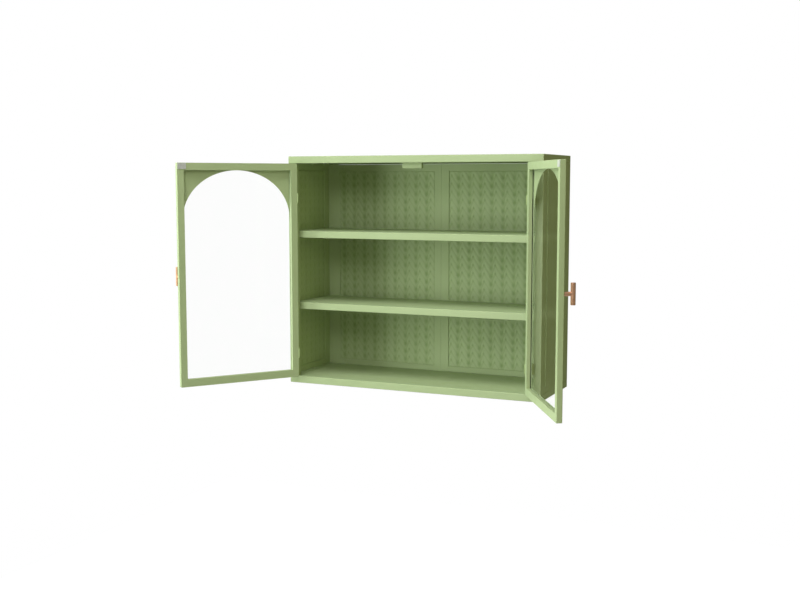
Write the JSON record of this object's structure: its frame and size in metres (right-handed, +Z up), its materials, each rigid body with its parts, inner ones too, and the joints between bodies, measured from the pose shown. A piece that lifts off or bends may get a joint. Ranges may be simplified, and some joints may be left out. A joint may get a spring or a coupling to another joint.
{
  "type": "wall cabinet",
  "caption": "Folded sheet steel wall cabinet with arched glazed doors on butt hinges, shelves, pressed cane-pattern panels and a magnetic catch.",
  "frame": {"origin": "centre of the four wall holes, on the wall plane", "axes": "+X to the cabinet's right, +Y towards the wall, +Z up"},
  "size_m": [1.0345, 0.5285, 0.6],
  "materials": {
    "green_steel": "matt sage green powder coat",
    "clear_glass": "clear float glass, polished",
    "seal": "soft matt strip",
    "copper_finish": "satin copper-coloured plating",
    "magnet": "dull dark ferrite",
    "hinge_steel": "matt painted steel",
    "plated_steel": "satin zinc plating"
  },
  "bodies": {
    "cabinet": {"back_panel_left": "green_steel", "back_panel_right": "green_steel", "back_panel_rivets": "green_steel", "back_seam_rivets": "green_steel", "bottom_panel": "green_steel", "catch_bracket": "green_steel", "catch_magnets": "magnet", "catch_screws": "plated_steel", "frame_nuts_bottom": "plated_steel", "frame_nuts_top": "plated_steel", "frame_screws_bottom": "green_steel", "frame_screws_top": "green_steel", "hanging_rail_bottom": "green_steel", "hanging_rail_top": "green_steel", "hinge_frame_leaf_left_lower": "hinge_steel", "hinge_frame_leaf_left_upper": "hinge_steel", "hinge_frame_leaf_right_lower": "hinge_steel", "hinge_frame_leaf_right_upper": "hinge_steel", "hinge_frame_screws_left": "plated_steel", "hinge_frame_screws_right": "plated_steel", "hinge_pin_left_lower": "hinge_steel", "hinge_pin_left_upper": "hinge_steel", "hinge_pin_right_lower": "hinge_steel", "hinge_pin_right_upper": "hinge_steel", "shelf_lower": "green_steel", "shelf_supports": "green_steel", "shelf_upper": "green_steel", "side_panel_left": "green_steel", "side_panel_right": "green_steel", "top_panel": "green_steel"},
    "door_left": {"door_left_frame": "green_steel", "door_left_glass": "clear_glass", "door_left_glass_seal": "seal", "door_left_handle_bar": "copper_finish", "door_left_handle_screw": "plated_steel", "door_left_handle_stem": "copper_finish", "door_left_skin": "green_steel", "door_left_strike": "plated_steel", "door_left_strike_screw": "plated_steel", "hinge_door_leaf_left_lower": "hinge_steel", "hinge_door_leaf_left_upper": "hinge_steel", "hinge_door_screws_left": "plated_steel"},
    "door_right": {"door_right_frame": "green_steel", "door_right_glass": "clear_glass", "door_right_glass_seal": "seal", "door_right_handle_bar": "copper_finish", "door_right_handle_screw": "plated_steel", "door_right_handle_stem": "copper_finish", "door_right_skin": "green_steel", "door_right_strike": "plated_steel", "door_right_strike_screw": "plated_steel", "hinge_door_leaf_right_lower": "hinge_steel", "hinge_door_leaf_right_upper": "hinge_steel", "hinge_door_screws_right": "plated_steel"}
  },
  "joints": [
    {"name": "door_left_hinge", "type": "hinge", "parent": "cabinet", "child": "door_left", "pos_m": [-0.3265, -0.238, 0], "axis": [0, 0, -1], "range_deg": [-125.7, 49.3]},
    {"name": "door_right_hinge", "type": "hinge", "parent": "cabinet", "child": "door_right", "pos_m": [0.3265, -0.238, 0], "axis": [0, 0, 1], "range_deg": [-119.8, 55.2]}
  ]
}
